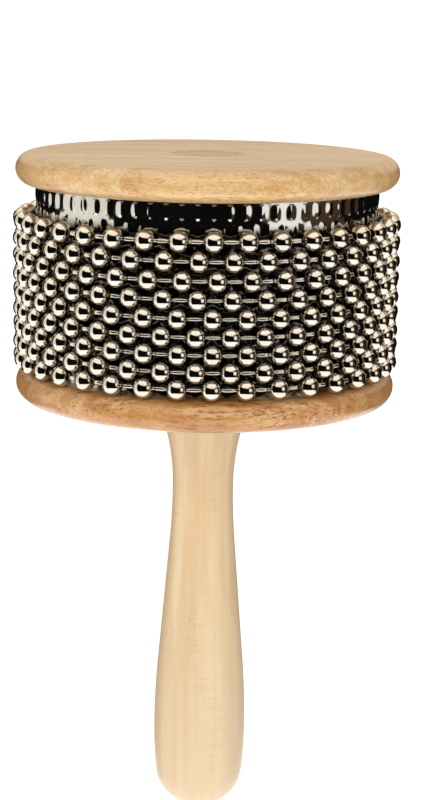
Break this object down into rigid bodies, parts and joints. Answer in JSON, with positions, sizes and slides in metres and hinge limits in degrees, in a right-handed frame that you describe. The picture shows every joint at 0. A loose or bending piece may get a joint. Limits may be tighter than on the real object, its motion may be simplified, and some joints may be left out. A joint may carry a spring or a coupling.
{
  "type": "cabasa",
  "caption": "Hand percussion shaker: loops of steel ball chain wrapped round a textured steel drum between two wooden discs, on a turned wooden handle.",
  "frame": {"origin": "on the instrument's axis at the butt end of the handle", "axes": "+Z along the axis from the butt to the upper disc; -Y faces the picture's camera; +X to its right"},
  "size_m": [0.133, 0.133, 0.235],
  "materials": {
    "handle_wood": "turned maple, clear satin lacquer",
    "disc_wood": "golden lacquered hardwood with reddish-brown grain flecks",
    "plug_wood": "lacquered",
    "core_wood": "plain turned",
    "drum_steel": "bright stainless sheet with raised bars",
    "bead_steel": "polished nickel-plated",
    "link_steel": "nickel-plated",
    "insert_brass": "turned",
    "fastener_steel": "zinc-plated"
  },
  "bodies": {
    "root": {"handle": "handle_wood", "handle_insert": "insert_brass", "tie_rod": "fastener_steel", "lower_disc": "disc_wood", "core_post": "core_wood", "drum_shell": "drum_steel", "seam_strip": "drum_steel", "upper_disc": "disc_wood", "washer": "fastener_steel", "tie_nut": "fastener_steel", "top_plug": "plug_wood"},
    "loop_1": {"bead_loop_1": "bead_steel", "link_loop_1": "link_steel"},
    "loop_2": {"bead_loop_2": "bead_steel", "link_loop_2": "link_steel"},
    "loop_3": {"bead_loop_3": "bead_steel", "link_loop_3": "link_steel"},
    "loop_4": {"bead_loop_4": "bead_steel", "link_loop_4": "link_steel"},
    "loop_5": {"bead_loop_5": "bead_steel", "link_loop_5": "link_steel"},
    "loop_6": {"bead_loop_6": "bead_steel", "link_loop_6": "link_steel"},
    "loop_7": {"bead_loop_7": "bead_steel", "link_loop_7": "link_steel"},
    "loop_8": {"bead_loop_8": "bead_steel", "link_loop_8": "link_steel"},
    "loop_9": {"bead_loop_9": "bead_steel", "link_loop_9": "link_steel"}
  },
  "joints": [
    {"name": "loop_1_turn", "type": "hinge", "parent": "root", "child": "loop_1", "pos_m": [0, 0, 0.1653], "axis": [0, 0, 1], "continuous": true},
    {"name": "loop_2_turn", "type": "hinge", "parent": "root", "child": "loop_2", "pos_m": [0, 0, 0.1709], "axis": [0, 0, 1], "continuous": true},
    {"name": "loop_3_turn", "type": "hinge", "parent": "root", "child": "loop_3", "pos_m": [0, 0, 0.1765], "axis": [0, 0, 1], "continuous": true},
    {"name": "loop_4_turn", "type": "hinge", "parent": "root", "child": "loop_4", "pos_m": [0, 0, 0.1823], "axis": [0, 0, 1], "continuous": true},
    {"name": "loop_5_turn", "type": "hinge", "parent": "root", "child": "loop_5", "pos_m": [0, 0, 0.1881], "axis": [0, 0, 1], "continuous": true},
    {"name": "loop_6_turn", "type": "hinge", "parent": "root", "child": "loop_6", "pos_m": [0, 0, 0.1941], "axis": [0, 0, 1], "continuous": true},
    {"name": "loop_7_turn", "type": "hinge", "parent": "root", "child": "loop_7", "pos_m": [0, 0, 0.2002], "axis": [0, 0, 1], "continuous": true},
    {"name": "loop_8_turn", "type": "hinge", "parent": "root", "child": "loop_8", "pos_m": [0, 0, 0.2063], "axis": [0, 0, 1], "continuous": true},
    {"name": "loop_9_turn", "type": "hinge", "parent": "root", "child": "loop_9", "pos_m": [0, 0, 0.2126], "axis": [0, 0, 1], "continuous": true}
  ],
  "couplings": [
    {"joint": "loop_2_turn", "follows": "loop_1_turn", "ratio": 1},
    {"joint": "loop_3_turn", "follows": "loop_1_turn", "ratio": 1},
    {"joint": "loop_4_turn", "follows": "loop_1_turn", "ratio": 1},
    {"joint": "loop_5_turn", "follows": "loop_1_turn", "ratio": 1},
    {"joint": "loop_6_turn", "follows": "loop_1_turn", "ratio": 1},
    {"joint": "loop_7_turn", "follows": "loop_1_turn", "ratio": 1},
    {"joint": "loop_8_turn", "follows": "loop_1_turn", "ratio": 1},
    {"joint": "loop_9_turn", "follows": "loop_1_turn", "ratio": 1}
  ]
}
